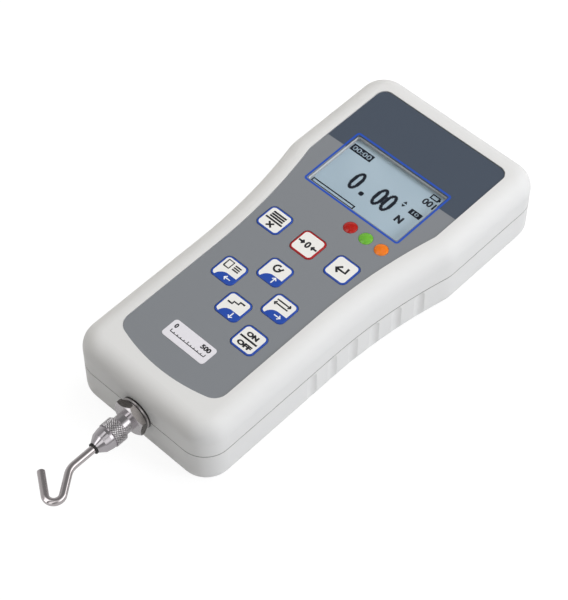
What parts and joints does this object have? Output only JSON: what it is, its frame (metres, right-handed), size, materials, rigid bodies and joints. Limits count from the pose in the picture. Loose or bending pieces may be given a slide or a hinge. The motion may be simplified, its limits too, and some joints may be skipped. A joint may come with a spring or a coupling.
{
  "type": "digital force gauge",
  "caption": "Hand-held digital force gauge: waisted two-part housing with display, keypad and status lamps, and a hook on a threaded measuring spindle.",
  "frame": {"origin": "centre of the four threaded inserts, in the plane of the back face", "axes": "+Z out of the display face, +Y from the hook end to the display end, +X to the right as the display is read"},
  "size_m": [0.075, 0.2037, 0.0292],
  "materials": {
    "housing_paint": "fine satin light grey paint on die-cast aluminium",
    "overlay_grey": "matt printed polyester film",
    "label_silver": "satin foil label",
    "key_plastic": "matt light grey key with printed outline",
    "lamp_red": "glossy tinted lens",
    "lamp_green": "glossy tinted lens",
    "lamp_orange": "glossy tinted lens",
    "clear_pane": "clear acrylic",
    "lcd_glass": "pale blue-grey liquid crystal panel",
    "lamp_guide": "white diffuser",
    "bezel_plastic": "black moulded frame",
    "board_green": "green solder mask",
    "black_plastic": "black moulded plastic",
    "socket_steel": "tinned steel shell",
    "cell_jacket": "green shrink jacket over the cell",
    "nickel_strip": "nickel strip",
    "cell_aluminium": "machined aluminium",
    "zinc_screws": "zinc-plated steel",
    "spindle_steel": "turned stainless steel",
    "nickel_plate": "satin nickel plate",
    "black_rubber": "black rubber",
    "insert_brass": "turned brass"
  },
  "bodies": {
    "housing": {"lower_shell": "housing_paint", "upper_shell": "housing_paint", "keypad_overlay": "overlay_grey", "range_label": "label_silver", "light_red": "lamp_red", "light_green": "lamp_green", "light_orange": "lamp_orange", "display_window": "clear_pane", "lcd_panel": "lcd_glass", "backlight": "lamp_guide", "lcd_bezel": "bezel_plastic", "main_board": "board_green", "board_screws": "zinc_screws", "key_switches": "black_plastic", "processor_chip": "black_plastic", "buzzer": "black_plastic", "usb_socket": "socket_steel", "power_socket": "black_plastic", "power_pin": "nickel_strip", "battery_cells": "cell_jacket", "battery_tabs": "nickel_strip", "battery_cradle": "black_plastic", "load_cell": "cell_aluminium", "load_cell_screws": "zinc_screws", "measuring_spindle": "spindle_steel", "dust_ring": "black_rubber", "spindle_nut": "nickel_plate", "case_screws": "zinc_screws", "thread_inserts": "insert_brass"},
    "menu_key": {"menu_key": "key_plastic"},
    "zero_key": {"zero_key": "key_plastic"},
    "enter_key": {"enter_key": "key_plastic"},
    "reset_key": {"reset_key": "key_plastic"},
    "print_key": {"print_key": "key_plastic"},
    "units_key": {"units_key": "key_plastic"},
    "mode_key": {"mode_key": "key_plastic"},
    "power_key": {"power_key": "key_plastic"},
    "tip_ring": {"tip_ring": "black_rubber"},
    "adapter": {"adapter": "nickel_plate"},
    "hook": {"hook": "nickel_plate"}
  },
  "joints": [
    {"name": "menu_key_press", "type": "slide", "parent": "housing", "child": "menu_key", "axis": [0, 0, -1], "range_m": [0, 0.00035], "stiffness_N_per_m": 4000},
    {"name": "zero_key_press", "type": "slide", "parent": "housing", "child": "zero_key", "axis": [0, 0, -1], "range_m": [0, 0.00035], "stiffness_N_per_m": 4000},
    {"name": "enter_key_press", "type": "slide", "parent": "housing", "child": "enter_key", "axis": [0, 0, -1], "range_m": [0, 0.00035], "stiffness_N_per_m": 4000},
    {"name": "reset_key_press", "type": "slide", "parent": "housing", "child": "reset_key", "axis": [0, 0, -1], "range_m": [0, 0.00035], "stiffness_N_per_m": 4000},
    {"name": "print_key_press", "type": "slide", "parent": "housing", "child": "print_key", "axis": [0, 0, -1], "range_m": [0, 0.00035], "stiffness_N_per_m": 4000},
    {"name": "units_key_press", "type": "slide", "parent": "housing", "child": "units_key", "axis": [0, 0, -1], "range_m": [0, 0.00035], "stiffness_N_per_m": 4000},
    {"name": "mode_key_press", "type": "slide", "parent": "housing", "child": "mode_key", "axis": [0, 0, -1], "range_m": [0, 0.00035], "stiffness_N_per_m": 4000},
    {"name": "power_key_press", "type": "slide", "parent": "housing", "child": "power_key", "axis": [0, 0, -1], "range_m": [0, 0.00035], "stiffness_N_per_m": 4000},
    {"name": "adapter_feed", "type": "slide", "parent": "housing", "child": "tip_ring", "axis": [0, -1, 0], "range_m": [0, 0.006]},
    {"name": "adapter_turn", "type": "hinge", "parent": "tip_ring", "child": "adapter", "pos_m": [0, -0.09, 0.0154], "axis": [0, -1, 0], "range_deg": [0, 2160]},
    {"name": "hook_swivel", "type": "hinge", "parent": "tip_ring", "child": "hook", "pos_m": [0, -0.1, 0.0154], "axis": [0, -1, 0], "continuous": true}
  ],
  "couplings": [
    {"joint": "adapter_turn", "follows": "adapter_feed", "rad_per_m": 6283.2}
  ]
}
